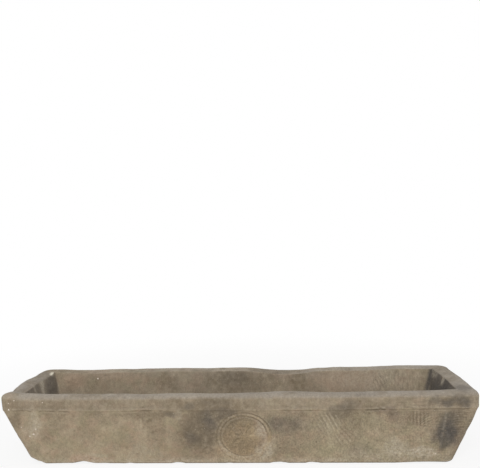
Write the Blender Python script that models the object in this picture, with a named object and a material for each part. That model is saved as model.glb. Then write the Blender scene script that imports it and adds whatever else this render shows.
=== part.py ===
"""Stone trough planter: a long, low vessel made in one thick-walled piece, open at the top.

Metres, +Z up. The origin is at the middle of the flat underside. +X runs along the length, and
the front, which carries the round seal, faces -Y.

The vessel is one loft of rounded rectangles. They climb the leaning outside from the foot, pass
the crease under the rim band, roll over the rim and go down the inside to the floor. The drain
holes, the rings of the seal, the broken corner and the chips along the foot are then cut away.
"""

import math
from collections import namedtuple

import bmesh
import bpy
from mathutils import Matrix, Vector

# Overall size, measured over the rim band
TROUGH_LENGTH = 1.000
TROUGH_WIDTH = 0.250
TROUGH_HEIGHT = 0.160

# Walls and floor
END_WALL = 0.041
LONG_WALL = 0.034
FLOOR_THICKNESS = 0.030
END_LEAN = math.radians(18.7)
LONG_LEAN = math.radians(15.4)
CAVITY_LEAN = math.radians(19.3)
FOOT_ROUND = 0.004
FLOOR_FILLET = 0.016

# Radii of the corners in plan, outside and in the cavity
BAND_CORNER = 0.017
WALL_CORNER = 0.015
FOOT_CORNER = 0.030
CAVITY_CORNER = 0.008
FLOOR_CORNER = 0.020
FULLEST_CORNER_SHARE = 0.9

# Rim band, rolled by hand, and the crease that is scored below it
BAND_HEIGHT = 0.0365
BAND_PROUD = 0.0016
BAND_EDGE_ROUND = 0.003
CREASE_HEIGHT = 0.003
CREASE_DEPTH = 0.0018
SHOULDER_REACH = 0.019
SHOULDER_RISE = 0.0125
RIM_FALL = 0.003
ARRIS_ROUND = 0.004

# Unevenness of the rim. Its front sags between the ends and swells a little to one side, and its
# back dips in three places, the middle one deep.
FRONT_SAG = 0.0055
FRONT_SAG_RUN = 0.130
FRONT_SWELL_HEIGHT = 0.0023
FRONT_SWELL_REACH = 0.100
FRONT_SWELL_PLACE_SHARE = 0.110
BACK_DIP_DEPTH = 0.0090
BACK_DIP_REACH = 0.125
BACK_DIP_PLACE_SHARES = (-0.370, 0.117, 0.290)
BACK_DIP_DEPTH_SHARES = (0.30, 1.00, 0.24)
BACK_DIP_REACH_SHARES = (0.72, 1.00, 0.64)

# Drain holes through the floor, in a row
DRAIN_COUNT = 3
DRAIN_DIAMETER = 0.025
DRAIN_SPACING = 0.280

# Round seal on the front: two shallow rings with a sunk field inside the smaller one
SEAL_DIAMETER = 0.118
SEAL_INNER_DIAMETER = 0.090
SEAL_OFFSET = 0.015
SEAL_GROOVE_WIDTH = 0.0032
SEAL_GROOVE_DEPTH = 0.0012
SEAL_FIELD_DEPTH = 0.0006

# Broken lower left corner of the front: how far the break runs along each edge
BREAK_LENGTH = 0.046
BREAK_HEIGHT = 0.023
BREAK_DEPTH = 0.060

# Chips along the foot of the front
CHIP_PLACE_SHARES = (-0.335, -0.129, -0.017, 0.087, 0.159)
CHIP_LENGTH_SHARES = (1.0, 1.1, 0.8, 1.3, 0.7)
CHIP_LENGTH = 0.034
CHIP_HEIGHT = 0.0120
CHIP_DEPTH = 0.0110

# Overrun of every cutter past the faces that it cuts
CUT_OVERRUN = 0.010

# Segments of the loft
LONG_STEPS = 40
SHORT_STEPS = 6
CORNER_STEPS = 4
SHOULDER_STEPS = 5
ARRIS_STEPS = 3
FOOT_STEPS = 2
FILLET_STEPS = 4
DRAIN_SIDES = 24
SEAL_SIDES = 48
GROOVE_SIDES = 6
CHIP_SEGMENTS = 12
CHIP_RINGS = 6

STONE_COLOUR = (0.286, 0.235, 0.168, 1.0)
STONE_ROUGHNESS = 0.92

HALF_LENGTH = TROUGH_LENGTH / 2
HALF_WIDTH = TROUGH_WIDTH / 2
BAND_FOOT = TROUGH_HEIGHT - BAND_HEIGHT
END_RUN = math.tan(END_LEAN)
LONG_RUN = math.tan(LONG_LEAN)
CAVITY_RUN = math.tan(CAVITY_LEAN)
ARRIS_FOOT = TROUGH_HEIGHT - RIM_FALL - ARRIS_ROUND

# One level of the loft. The insets are measured from the outside of the rim band, at the ends
# and at the long sides, and rim_share is how much of the rim's unevenness the level follows.
Section = namedtuple("Section", "height end_inset long_inset corner rim_share")


def smooth_step(t):
    t = min(max(t, 0.0), 1.0)
    return t * t * (3 - 2 * t)


def bump(distance, reach):
    """1 at no distance, falling smoothly to 0 at the reach."""
    return smooth_step(1 - abs(distance) / reach)


def rim_wave(x, y):
    """How far the rim lies above its nominal height at a place in plan."""
    if y < 0:
        sag = FRONT_SAG * smooth_step((HALF_LENGTH - abs(x)) / FRONT_SAG_RUN)
        swell_x = FRONT_SWELL_PLACE_SHARE * TROUGH_LENGTH
        return FRONT_SWELL_HEIGHT * bump(x - swell_x, FRONT_SWELL_REACH) - sag
    dips = zip(BACK_DIP_PLACE_SHARES, BACK_DIP_DEPTH_SHARES, BACK_DIP_REACH_SHARES)
    return -BACK_DIP_DEPTH * sum(
        depth * bump(x - place * TROUGH_LENGTH, reach * BACK_DIP_REACH)
        for place, depth, reach in dips
    )


def outside(height, inset, rim_share=0.0):
    """A level of the outside, which leans inwards below the rim band."""
    drop = max(BAND_FOOT - height, 0.0)
    corner = WALL_CORNER + (FOOT_CORNER - WALL_CORNER) * drop / BAND_FOOT if drop else BAND_CORNER
    return Section(height, inset + END_RUN * drop, inset + LONG_RUN * drop, corner, rim_share)


def inside(height, inset):
    """A level of the cavity's wall, which leans inwards below the rim's inner arris."""
    drop = ARRIS_FOOT - height
    depth_share = drop / (ARRIS_FOOT - FLOOR_THICKNESS)
    corner = CAVITY_CORNER + (FLOOR_CORNER - CAVITY_CORNER) * depth_share
    lean = inset + CAVITY_RUN * drop
    return Section(height, END_WALL + lean, LONG_WALL + lean, corner, 1 - smooth_step(depth_share))


def foot_sections():
    for step in range(FOOT_STEPS + 1):
        angle = math.pi / 2 * step / FOOT_STEPS
        height = FOOT_ROUND * (1 - math.cos(angle))
        yield outside(height, BAND_PROUD + FOOT_ROUND * (1 - math.sin(angle)))


def crease_sections():
    """The top of the wall, the crease and the rounded lower edge of the band."""
    yield outside(BAND_FOOT - CREASE_HEIGHT, BAND_PROUD)
    yield outside(BAND_FOOT - CREASE_HEIGHT / 2, BAND_PROUD + CREASE_DEPTH)
    yield outside(BAND_FOOT, BAND_PROUD)
    yield outside(BAND_FOOT + BAND_EDGE_ROUND, 0.0)


def shoulder_sections():
    """The rounded outer shoulder, from the band's face to the crest of the rim."""
    spring = TROUGH_HEIGHT - SHOULDER_RISE
    for step in range(SHOULDER_STEPS + 1):
        angle = math.pi / 2 * step / SHOULDER_STEPS
        height = spring + SHOULDER_RISE * math.sin(angle)
        yield outside(height, SHOULDER_REACH * (1 - math.cos(angle)), math.sin(angle))


def arris_sections():
    """The inner edge of the rim, where its top turns down into the cavity."""
    for step in range(ARRIS_STEPS + 1):
        angle = math.pi / 2 * step / ARRIS_STEPS
        inset = ARRIS_ROUND * (1 - math.sin(angle))
        height = ARRIS_FOOT + ARRIS_ROUND * math.cos(angle)
        yield Section(height, END_WALL - inset, LONG_WALL - inset, CAVITY_CORNER, 1.0)


def cavity_sections():
    """The cavity's wall and the fillet where it meets the floor."""
    fillet_centre = FLOOR_THICKNESS + FLOOR_FILLET
    tangent_run = FLOOR_FILLET * math.tan((math.pi / 2 - CAVITY_LEAN) / 2)
    yield inside((ARRIS_FOOT + fillet_centre) / 2, 0.0)
    for step in range(FILLET_STEPS + 1):
        angle = CAVITY_LEAN + (math.pi / 2 - CAVITY_LEAN) * step / FILLET_STEPS
        height = fillet_centre - FLOOR_FILLET * math.sin(angle)
        wall_inset = CAVITY_RUN * (ARRIS_FOOT - height)
        floor_inset = CAVITY_RUN * (ARRIS_FOOT - FLOOR_THICKNESS)
        arc_inset = floor_inset + tangent_run - FLOOR_FILLET * math.cos(angle)
        yield inside(height, arc_inset - wall_inset)


def rounded_rectangle(half_length, half_width, wanted_corner):
    """Plan points, anticlockwise from above, in the same order and number at every level."""
    corner = min(wanted_corner, FULLEST_CORNER_SHARE * min(half_length, half_width))
    signs = ((1, 1), (-1, 1), (-1, -1), (1, -1))
    arcs = []
    for turn, (x_sign, y_sign) in enumerate(signs):
        centre = Vector((x_sign * (half_length - corner), y_sign * (half_width - corner)))
        angles = [math.pi / 2 * (turn + step / CORNER_STEPS) for step in range(CORNER_STEPS + 1)]
        arcs.append([centre + corner * Vector((math.cos(a), math.sin(a))) for a in angles])
    points = []
    for turn, arc in enumerate(arcs):
        next_arc = arcs[(turn + 1) % len(arcs)]
        steps = SHORT_STEPS if turn % 2 else LONG_STEPS
        points += arc
        points += [arc[-1].lerp(next_arc[0], step / steps) for step in range(1, steps)]
    return points


def plan_of(section):
    return rounded_rectangle(
        HALF_LENGTH - section.end_inset, HALF_WIDTH - section.long_inset, section.corner
    )


def make_stone():
    stone = bpy.data.materials.new("weathered_stone")
    stone.use_nodes = True
    shader = stone.node_tree.nodes["Principled BSDF"]
    shader.inputs["Base Color"].default_value = STONE_COLOUR
    shader.inputs["Roughness"].default_value = STONE_ROUGHNESS
    shader.inputs["Metallic"].default_value = 0.0
    return stone


def mesh_object(name, bm, collection):
    mesh = bpy.data.meshes.new(name)
    bmesh.ops.recalc_face_normals(bm, faces=bm.faces[:])
    bm.to_mesh(mesh)
    bm.free()
    obj = bpy.data.objects.new(name, mesh)
    collection.objects.link(obj)
    return obj


def make_vessel(collection):
    sections = [
        *foot_sections(),
        *crease_sections(),
        *shoulder_sections(),
        *arris_sections(),
        *cavity_sections(),
    ]
    rim = plan_of(Section(TROUGH_HEIGHT, SHOULDER_REACH, SHOULDER_REACH, BAND_CORNER, 1.0))
    waves = [rim_wave(point.x, point.y) for point in rim]
    bm = bmesh.new()
    rings = []
    for section in sections:
        heights = [section.height + section.rim_share * wave for wave in waves]
        plan = plan_of(section)
        rings.append([bm.verts.new((p.x, p.y, z)) for p, z in zip(plan, heights)])
    for lower, upper in zip(rings, rings[1:]):
        for i in range(len(lower)):
            j = (i + 1) % len(lower)
            bm.faces.new((lower[i], lower[j], upper[j], upper[i]))
    bm.faces.new(reversed(rings[0]))
    bm.faces.new(rings[-1])
    return mesh_object("trough_body", bm, collection)


def as_cutter(obj, collection):
    for holder in obj.users_collection:
        holder.objects.unlink(obj)
    collection.objects.link(obj)
    obj.hide_render = True
    obj.display_type = "WIRE"
    return obj


def apply_scale(obj, scale):
    """Sizes the mesh itself, so that the object keeps a scale of 1."""
    obj.data.transform(Matrix.Diagonal((*scale, 1.0)))


def make_drain_cutters(collection):
    first = -DRAIN_SPACING * (DRAIN_COUNT - 1) / 2
    for index in range(DRAIN_COUNT):
        bpy.ops.mesh.primitive_cylinder_add(
            vertices=DRAIN_SIDES,
            radius=DRAIN_DIAMETER / 2,
            depth=FLOOR_THICKNESS + 2 * CUT_OVERRUN,
            location=(first + index * DRAIN_SPACING, 0, FLOOR_THICKNESS / 2),
        )
        bpy.context.object.name = f"drain_cutter_{index + 1}"
        yield as_cutter(bpy.context.object, collection)


def front_face_place(x, height):
    """A point on the leaning front, below the band."""
    drop = BAND_FOOT - height
    return Vector((x, -HALF_WIDTH + BAND_PROUD + LONG_RUN * drop, height))


def make_seal_cutters(collection):
    """Two rings and a shallow disc, all square to the leaning front."""
    centre = front_face_place(SEAL_OFFSET, BAND_FOOT / 2)
    normal = Vector((0, -math.cos(LONG_LEAN), -math.sin(LONG_LEAN)))
    turn = normal.to_track_quat("Z", "Y").to_euler()
    groove_radius = SEAL_GROOVE_WIDTH / 2
    lift = groove_radius - SEAL_GROOVE_DEPTH
    for name, diameter in (("outer", SEAL_DIAMETER), ("inner", SEAL_INNER_DIAMETER)):
        bpy.ops.mesh.primitive_torus_add(
            major_segments=SEAL_SIDES,
            minor_segments=GROOVE_SIDES,
            major_radius=diameter / 2 - groove_radius,
            minor_radius=groove_radius,
            location=centre + lift * normal,
            rotation=turn,
        )
        bpy.context.object.name = f"seal_{name}_ring_cutter"
        yield as_cutter(bpy.context.object, collection)
    bpy.ops.mesh.primitive_cylinder_add(
        vertices=SEAL_SIDES,
        radius=SEAL_INNER_DIAMETER / 2 - groove_radius,
        depth=SEAL_FIELD_DEPTH + CUT_OVERRUN,
        location=centre + (CUT_OVERRUN - SEAL_FIELD_DEPTH) / 2 * normal,
        rotation=turn,
    )
    bpy.context.object.name = "seal_field_cutter"
    yield as_cutter(bpy.context.object, collection)


def make_break_cutter(collection):
    """A block whose inner face passes through the three ends of the break."""
    foot_x = -HALF_LENGTH + BAND_PROUD + END_RUN * BAND_FOOT
    foot_y = -HALF_WIDTH + BAND_PROUD + LONG_RUN * BAND_FOOT
    up_edge = Vector((foot_x - END_RUN * BREAK_HEIGHT, foot_y - LONG_RUN * BREAK_HEIGHT, BREAK_HEIGHT))
    along_front = Vector((foot_x + BREAK_LENGTH, foot_y, 0))
    along_end = Vector((foot_x, foot_y + BREAK_DEPTH, 0))
    outward = (along_front - up_edge).cross(along_end - up_edge).normalized()
    if outward.z > 0:
        outward = -outward
    side = BREAK_LENGTH + BREAK_HEIGHT + BREAK_DEPTH
    middle = (up_edge + along_front + along_end) / 3
    bpy.ops.mesh.primitive_cube_add(
        size=2 * side,
        location=middle + side * outward,
        rotation=outward.to_track_quat("Z", "Y").to_euler(),
    )
    bpy.context.object.name = "broken_corner_cutter"
    return as_cutter(bpy.context.object, collection)


def make_chip_cutters(collection):
    for index, place_share in enumerate(CHIP_PLACE_SHARES):
        bpy.ops.mesh.primitive_uv_sphere_add(
            segments=CHIP_SEGMENTS,
            ring_count=CHIP_RINGS,
            radius=1,
            location=front_face_place(place_share * TROUGH_LENGTH, 0),
        )
        length = CHIP_LENGTH * CHIP_LENGTH_SHARES[index]
        apply_scale(bpy.context.object, (length / 2, CHIP_DEPTH / 2, CHIP_HEIGHT / 2))
        bpy.context.object.name = f"foot_chip_cutter_{index + 1}"
        yield as_cutter(bpy.context.object, collection)


def cut(obj, cutter):
    modifier = obj.modifiers.new(cutter.name, "BOOLEAN")
    modifier.operation = "DIFFERENCE"
    modifier.solver = "EXACT"
    modifier.object = cutter


def main():
    for obj in list(bpy.data.objects):
        bpy.data.objects.remove(obj)
    parts = bpy.data.collections.new("stone_trough_planter")
    cutters = bpy.data.collections.new("cutters")
    for collection in (parts, cutters):
        bpy.context.scene.collection.children.link(collection)

    vessel = make_vessel(parts)
    vessel.data.materials.append(make_stone())
    vessel.data.shade_smooth()
    vessel.data.set_sharp_from_angle(angle=math.radians(35))

    for cutter in make_drain_cutters(cutters):
        cut(vessel, cutter)
    for cutter in make_seal_cutters(cutters):
        cut(vessel, cutter)
    cut(vessel, make_break_cutter(cutters))
    for cutter in make_chip_cutters(cutters):
        cut(vessel, cutter)


main()
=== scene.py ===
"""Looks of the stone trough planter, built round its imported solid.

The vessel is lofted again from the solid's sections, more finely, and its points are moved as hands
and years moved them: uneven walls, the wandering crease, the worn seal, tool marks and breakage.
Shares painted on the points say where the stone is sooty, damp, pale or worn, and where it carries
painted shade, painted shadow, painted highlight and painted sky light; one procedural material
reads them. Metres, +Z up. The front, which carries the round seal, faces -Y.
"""

import math
from collections import namedtuple
from itertools import product

import bpy
import numpy as np
from mathutils import Matrix, Vector
from mathutils.geometry import delaunay_2d_cdt


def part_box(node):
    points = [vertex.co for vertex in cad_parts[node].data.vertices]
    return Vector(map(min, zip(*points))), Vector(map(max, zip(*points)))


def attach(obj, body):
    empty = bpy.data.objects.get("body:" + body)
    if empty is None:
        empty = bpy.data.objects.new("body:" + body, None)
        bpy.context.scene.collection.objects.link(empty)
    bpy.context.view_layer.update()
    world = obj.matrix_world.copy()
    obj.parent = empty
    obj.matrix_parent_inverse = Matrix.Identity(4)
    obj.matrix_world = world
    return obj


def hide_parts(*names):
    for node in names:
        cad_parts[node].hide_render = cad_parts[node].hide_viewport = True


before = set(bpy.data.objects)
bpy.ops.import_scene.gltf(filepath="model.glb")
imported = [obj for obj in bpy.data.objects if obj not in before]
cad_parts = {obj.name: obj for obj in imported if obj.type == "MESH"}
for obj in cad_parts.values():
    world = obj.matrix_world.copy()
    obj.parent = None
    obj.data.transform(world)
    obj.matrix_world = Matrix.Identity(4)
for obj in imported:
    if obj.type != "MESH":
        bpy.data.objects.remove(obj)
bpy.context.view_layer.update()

LOW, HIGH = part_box("trough_body")
HALF_LENGTH = (HIGH.x - LOW.x) / 2
HALF_WIDTH = (HIGH.y - LOW.y) / 2
TROUGH_HEIGHT = HIGH.z - LOW.z

# The solid's own sizes
END_WALL = 0.041
LONG_WALL = 0.034
FLOOR_THICKNESS = 0.03
END_RUN = math.tan(math.radians(18.7))
LONG_LEAN = math.radians(15.4)
LONG_RUN = math.tan(LONG_LEAN)
CAVITY_LEAN = math.radians(19.3)
CAVITY_RUN = math.tan(CAVITY_LEAN)
FOOT_ROUND = 0.004
FLOOR_FILLET = 0.016
BAND_CORNER = 0.017
WALL_CORNER = 0.015
FOOT_CORNER = 0.03
CAVITY_CORNER = 0.005
FLOOR_CORNER = 0.02
BAND_HEIGHT = 0.0365
BAND_PROUD = 0.0016
BAND_EDGE_ROUND = 0.003
SHOULDER_REACH = 0.019
SHOULDER_RISE = 0.0125
RIM_FALL = 0.003
ARRIS_ROUND = 0.004
BAND_FOOT = TROUGH_HEIGHT - BAND_HEIGHT
SHOULDER_FOOT = TROUGH_HEIGHT - SHOULDER_RISE
ARRIS_FOOT = TROUGH_HEIGHT - RIM_FALL - ARRIS_ROUND
DRAIN_PLACES = (-0.28, 0.0, 0.28)
DRAIN_RADIUS = 0.0125
SEAL_X = 0.015
SEAL_HEIGHT = BAND_FOOT / 2 + 0.001
SEAL_RADIUS = 0.059
SEAL_INNER_RADIUS = 0.045

# Fineness of the loft
FRONT_COLUMNS = 386
BACK_COLUMNS = 150
END_COLUMNS = 40
CORNER_COLUMNS = 8
UNDERSIDE_INSETS = (0.085, 0.062, 0.04, 0.024, 0.014, 0.008)
FLOOR_INSETS = (0.009, 0.018, 0.026, 0.032)
FOOT_LEVELS = 4
WALL_LEVELS = 69
CREASE_LEVELS = 15
BAND_LEVELS = 9
SHOULDER_LEVELS = 12
ARRIS_LEVELS = 5
CAVITY_LEVELS = 16
DEEP_LEVELS = 8
FILLET_LEVELS = 4
# Levels stand closer between these heights, at the crease, and above this one inside
CREASE_FROM = 0.116
CREASE_TO = 0.13
CAVITY_FINE_FROM = 0.105
# Levels of the inner arris that take the cavity's stains
ARRIS_LEVELS_INSIDE = 2
# The largest plan corner, as a share of the half width left
CORNER_LIMIT = 0.9
# Tables whose rows start with a place are in millimetres, and the stains' strengths in percent
MM = 0.001

Level = namedtuple("Level", "height end_inset long_inset corner rim_share")


def smooth_step(t):
    t = np.clip(t, 0.0, 1.0)
    return t * t * (3 - 2 * t)


def above(value, edge, fade):
    """0 up to the edge, then rising smoothly to 1 over the fade."""
    return smooth_step((value - edge) / fade)


def below(value, edge, fade):
    """0 beyond the edge, rising smoothly to 1 over the fade below it."""
    return smooth_step((edge - value) / fade)


def bump(distance, reach):
    """1 at no distance, falling smoothly to 0 at the reach."""
    return smooth_step(1 - np.abs(distance) / reach)


def grain(points, size, seed):
    """Smooth noise from about -1 to 1, in lumps of about the size."""
    # Each seed turns the noise's grid another way
    turn = Matrix.Rotation(seed, 3, "Z") @ Matrix.Rotation(2.4 * seed, 3, "X")
    cells = points @ np.array(turn) / size
    base = np.floor(cells).astype(np.int64)
    t = cells - base
    t = t * t * t * (t * (6 * t - 15) + 10)
    table = np.random.default_rng(seed).uniform(-1, 1, 4096)
    total = np.zeros(len(points))
    for corner in product((0, 1), repeat=3):
        x, y, z = (base + corner).T
        value = table[(x * 73856093 ^ y * 19349663 ^ z * 83492791) & 4095]
        weight = np.prod(np.where(corner, t, 1 - t), axis=1)
        total += weight * value
    return 1.4 * total


def lumps(points, size, threshold, seed):
    """Only those lumps of the noise that stand above the threshold."""
    return np.clip(grain(points, size, seed) - threshold, 0, 1)


def swelling(x, swells, power=1):
    """Smooth swells along a side: each one's place, reach and height."""
    return MM * sum(height * bump(x / MM - place, reach) ** power for place, reach, height in swells)


# The rim's unevenness: where the front sags, and each swell's place, reach and height
FRONT_SAG = 0.0055
FRONT_SAG_RUN = 0.13
FRONT_SWELLS = ((110, 100, 2.3), (-340, 140, 2.2), (-120, 90, 1.4), (325, 120, 2.6))
BACK_SWELLS = (
    (-370, 90, -2.7), (117, 125, -9), (290, 80, -2.2), (-165, 110, 1.3), (176, 34, 1.5),
    (385, 40, 0.9),
)


def rim_wave(x, y):
    """How far the rim lies above its nominal height at places in plan."""
    front = -FRONT_SAG * below(np.abs(x), HALF_LENGTH, FRONT_SAG_RUN) + swelling(x, FRONT_SWELLS)
    return np.where(y < 0, front, swelling(x, BACK_SWELLS))


def fitting(corner, long_inset):
    """A corner's radius, kept inside the half width that the inset leaves."""
    return min(corner, CORNER_LIMIT * (HALF_WIDTH - long_inset))


def outside(height, inset, rim_share=0.0):
    drop = max(BAND_FOOT - height, 0.0)
    corner = WALL_CORNER + (FOOT_CORNER - WALL_CORNER) * drop / BAND_FOOT if drop else BAND_CORNER
    long_inset = inset + LONG_RUN * drop
    corner = fitting(corner, long_inset)
    return Level(height, inset + END_RUN * drop, long_inset, corner, rim_share)


def inside(height, inset):
    drop = ARRIS_FOOT - height
    depth_share = drop / (ARRIS_FOOT - FLOOR_THICKNESS)
    corner = CAVITY_CORNER + (FLOOR_CORNER - CAVITY_CORNER) * depth_share**2
    lean = inset + CAVITY_RUN * drop
    rim_share = float(1 - smooth_step(depth_share))
    corner = fitting(corner, LONG_WALL + lean)
    return Level(height, END_WALL + lean, LONG_WALL + lean, corner, rim_share)


def outer_levels():
    """The underside, the leaning wall and the band."""
    for inset in UNDERSIDE_INSETS:
        yield outside(0.0, BAND_PROUD + inset)
    for angle in np.linspace(0, math.pi / 2, FOOT_LEVELS):
        height = FOOT_ROUND * (1 - math.cos(angle))
        yield outside(height, BAND_PROUD + FOOT_ROUND * (1 - math.sin(angle)))
    for height in np.linspace(FOOT_ROUND, CREASE_FROM, WALL_LEVELS)[1:]:
        yield outside(height, BAND_PROUD)
    for height in np.linspace(CREASE_FROM, CREASE_TO, CREASE_LEVELS)[1:]:
        proud = float(smooth_step((height - BAND_FOOT) / BAND_EDGE_ROUND + 0.5))
        yield outside(height, BAND_PROUD * (1 - proud))
    for height in np.linspace(CREASE_TO, SHOULDER_FOOT, BAND_LEVELS)[1:-1]:
        yield outside(height, 0.0)


def rim_levels():
    """The rolled shoulder, the crest and the inner arris."""
    for angle in np.linspace(0, math.pi / 2, SHOULDER_LEVELS):
        height = SHOULDER_FOOT + SHOULDER_RISE * math.sin(angle)
        yield outside(height, SHOULDER_REACH * (1 - math.cos(angle)), math.sin(angle))
    arris_top = ARRIS_FOOT + ARRIS_ROUND
    for share in (0.25, 0.5, 0.75):
        height = TROUGH_HEIGHT + share * (arris_top - TROUGH_HEIGHT)
        ends = SHOULDER_REACH + share * (END_WALL - ARRIS_ROUND - SHOULDER_REACH)
        longs = SHOULDER_REACH + share * (LONG_WALL - ARRIS_ROUND - SHOULDER_REACH)
        corner = BAND_CORNER + share * (CAVITY_CORNER - BAND_CORNER)
        yield Level(height, ends, longs, corner, 1.0)
    for angle in np.linspace(0, math.pi / 2, ARRIS_LEVELS):
        inset = ARRIS_ROUND * (1 - math.sin(angle))
        height = ARRIS_FOOT + ARRIS_ROUND * math.cos(angle)
        yield Level(height, END_WALL - inset, LONG_WALL - inset, CAVITY_CORNER, 1.0)


def cavity_levels():
    """The cavity's wall, the fillet and the floor's edge."""
    fillet_centre = FLOOR_THICKNESS + FLOOR_FILLET
    tangent_run = FLOOR_FILLET * math.tan((math.pi / 2 - CAVITY_LEAN) / 2)
    floor_inset = CAVITY_RUN * (ARRIS_FOOT - FLOOR_THICKNESS)
    for height in np.linspace(ARRIS_FOOT, CAVITY_FINE_FROM, CAVITY_LEVELS)[1:]:
        yield inside(height, 0.0)
    for height in np.linspace(CAVITY_FINE_FROM, fillet_centre, DEEP_LEVELS)[1:]:
        yield inside(height, 0.0)
    for angle in np.linspace(CAVITY_LEAN, math.pi / 2, FILLET_LEVELS):
        height = fillet_centre - FLOOR_FILLET * math.sin(angle)
        wall_inset = CAVITY_RUN * (ARRIS_FOOT - height)
        arc_inset = floor_inset + tangent_run - FLOOR_FILLET * math.cos(angle)
        yield inside(height, arc_inset - wall_inset)
    for inset in FLOOR_INSETS:
        yield inside(FLOOR_THICKNESS, tangent_run + inset)


# Where columns stand closer together: place, reach and how many more
FRONT_CROWDS = ((15, 85, 1), (203, 60, 0.8), (384, 35, 0.8))
BACK_CROWDS = ((372, 60, 3),)


def column_shares(count, crowds):
    """Places along a long side, from -1 to 1, closer together in the crowds."""
    x = np.linspace(-1, 1, 2001)
    density = np.ones_like(x)
    for place, reach, extra in crowds:
        density += extra * bump(x * HALF_LENGTH / MM - place, reach)
    run = np.cumsum(density) - density / 2
    run = (run - run[0]) / (run[-1] - run[0])
    return np.interp(np.linspace(0, 1, count + 1)[1:-1], run, x)


def plan_columns():
    """Each column's corner centre, as signs, and outward direction, anticlockwise."""
    runs = (
        column_shares(BACK_COLUMNS, BACK_CROWDS)[::-1],
        np.linspace(1, -1, END_COLUMNS + 1)[1:-1],
        column_shares(FRONT_COLUMNS, FRONT_CROWDS),
        np.linspace(-1, 1, END_COLUMNS + 1)[1:-1],
    )
    corners = ((1, 1), (-1, 1), (-1, -1), (1, -1))
    columns = []
    for turn, ((x_sign, y_sign), run) in enumerate(zip(corners, runs)):
        for angle in np.linspace(turn, turn + 1, CORNER_COLUMNS + 1) * math.pi / 2:
            columns.append((x_sign, y_sign, math.cos(angle), math.sin(angle)))
        for share in run:
            place = (x_sign, share) if turn % 2 else (share, y_sign)
            columns.append((*place, math.cos(angle), math.sin(angle)))
    return np.array(columns)


def loft_levels():
    """All levels from the underside to the cavity's floor, and the first that is inside."""
    outer, inner = [*outer_levels(), *rim_levels()], [*cavity_levels()]
    return np.array(outer + inner), len(outer)


def loft_points(levels):
    """Points of the smooth vessel, as [level, column, xyz]."""
    height, end_inset, long_inset, corner, rim_share = (column[:, None] for column in levels.T)
    x_sign, y_sign, x_out, y_out = plan_columns().T
    x = x_sign * (HALF_LENGTH - end_inset - corner) + x_out * corner
    y = y_sign * (HALF_WIDTH - long_inset - corner) + y_out * corner
    rim_x = x_sign * (HALF_LENGTH - SHOULDER_REACH - BAND_CORNER) + x_out * BAND_CORNER
    rim_y = y_sign * (HALF_WIDTH - SHOULDER_REACH - BAND_CORNER) + y_out * BAND_CORNER
    z = height + rim_share * rim_wave(rim_x, rim_y)
    return np.stack([x, y, z], axis=2)


def normals_of(points):
    """Outward unit normals of a grid of levels and columns."""
    along = np.roll(points, -1, axis=1) - np.roll(points, 1, axis=1)
    up = np.gradient(points, axis=0)
    normal = np.cross(along, up)
    return normal / np.maximum(np.linalg.norm(normal, axis=2, keepdims=True), 1e-12)


def zones_of(points, normals, inside):
    """Each point's shares of the front and of the cavity's rear, left and right walls."""
    x, y = points[:, 0], points[:, 1]
    facing_front = above(-normals[:, 1], 0.35, 0.4)
    front = (1 - inside) * facing_front * (y < -0.5 * HALF_WIDTH)
    rear_wall = inside * facing_front * (y > 0)
    end_wall = inside * above(np.abs(normals[:, 0]), 0.55, 0.2)
    return front, rear_wall, end_wall * (x < 0), end_wall * (x > 0)


# Unevenness of every surface: the lumps' size and height
UNEVENNESS = ((0.15, 0.0008), (0.06, 0.0006), (0.024, 0.0003), (0.01, 0.00012), (0.005, 0.00006))
UNEVEN_INSIDE = 0.6
# Pits and dents: their size, the noise's threshold and their depth
PITS = ((0.0075, 0.92, 0.0009), (0.026, 0.62, 0.0011))
# How much shallower both are inside and above this height
CALM_SHARE = 0.75
CALM_ABOVE = 0.146

# The crease under the band: how deep it is cut along the front, in order of x
CREASE_WIDTH = 0.0034
CREASE_DEPTH = 0.0012
CREASE_WANDER = 0.0012
CREASE_STRETCHES = (
    (-490, 0.2), (-470, 0.9), (-437, 1), (-428, 0.1), (-418, 0.2), (-412, 1), (-385, 1),
    (-378, 0.2), (-370, 0.9), (-356, 0.8), (-346, 0.2), (-268, 0.3), (-255, 0.6), (-160, 0.7),
    (-145, 0.1), (60, 0.1), (74, 0.5), (165, 0.8), (178, 0.1), (262, 0.2), (272, 1.2), (303, 1.2),
    (310, 0.2), (350, 0.3), (365, 0.7), (478, 0.8), (494, 0.25),
)
# Height of the crease's middle along the front, in order of x
CREASE_HEIGHTS = (
    (-500, 125.2), (-420, 124.3), (-285, 122.2), (-170, 123.9), (130, 122.4), (170, 122.8),
    (290, 121.9), (340, 123.3), (500, 123.3),
)
LIP_HEIGHT = 0.0008
LIP_REACH = 1.3 * CREASE_WIDTH

# Round seal: a bead between two grooves, the inner one drawn in at the bottom, and a sunk field
OUTER_GROOVE = SEAL_RADIUS - 0.0014
INNER_GROOVE = SEAL_RADIUS - 0.0092
INNER_GROOVE_FALL = 0.0042
GROOVE_HALF_WIDTH = 0.0021
GROOVE_DEPTH = 0.0009
BEAD_HEIGHT = 0.0005
SEAL_FIELD_DEPTH = 0.0005
PETALS = 8
PETAL_REACH = 0.034
PETAL_RELIEF = 0.0004
SEAL_SHARP_ANGLE = math.radians(50)
SEAL_SHARP_REACH = math.radians(85)
SEAL_LOW_ANGLE = math.radians(-110)
SEAL_LOW_REACH = math.radians(75)
SEAL_LOW_KEPT = 0.5

# Strokes of the maker's tools: x, height, half length, half height, lean in degrees, spacing and
# relief, which is negative for grooves
TOOL_STROKES = (
    (190, 90, 26, 28, 29, 8, 0.8), (222, 60, 20, 22, 32, 8, 0.6), (379, 103, 23, 19, 5, 7.5, -0.9),
    (466, 90, 24, 36, 89, 5.4, 0.5), (-200, 93, 24, 14, 4, 8, -0.3),
)
REAR_STROKES = ((334, 126, 20, 24, 26, 7.5, -0.5),)

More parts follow.
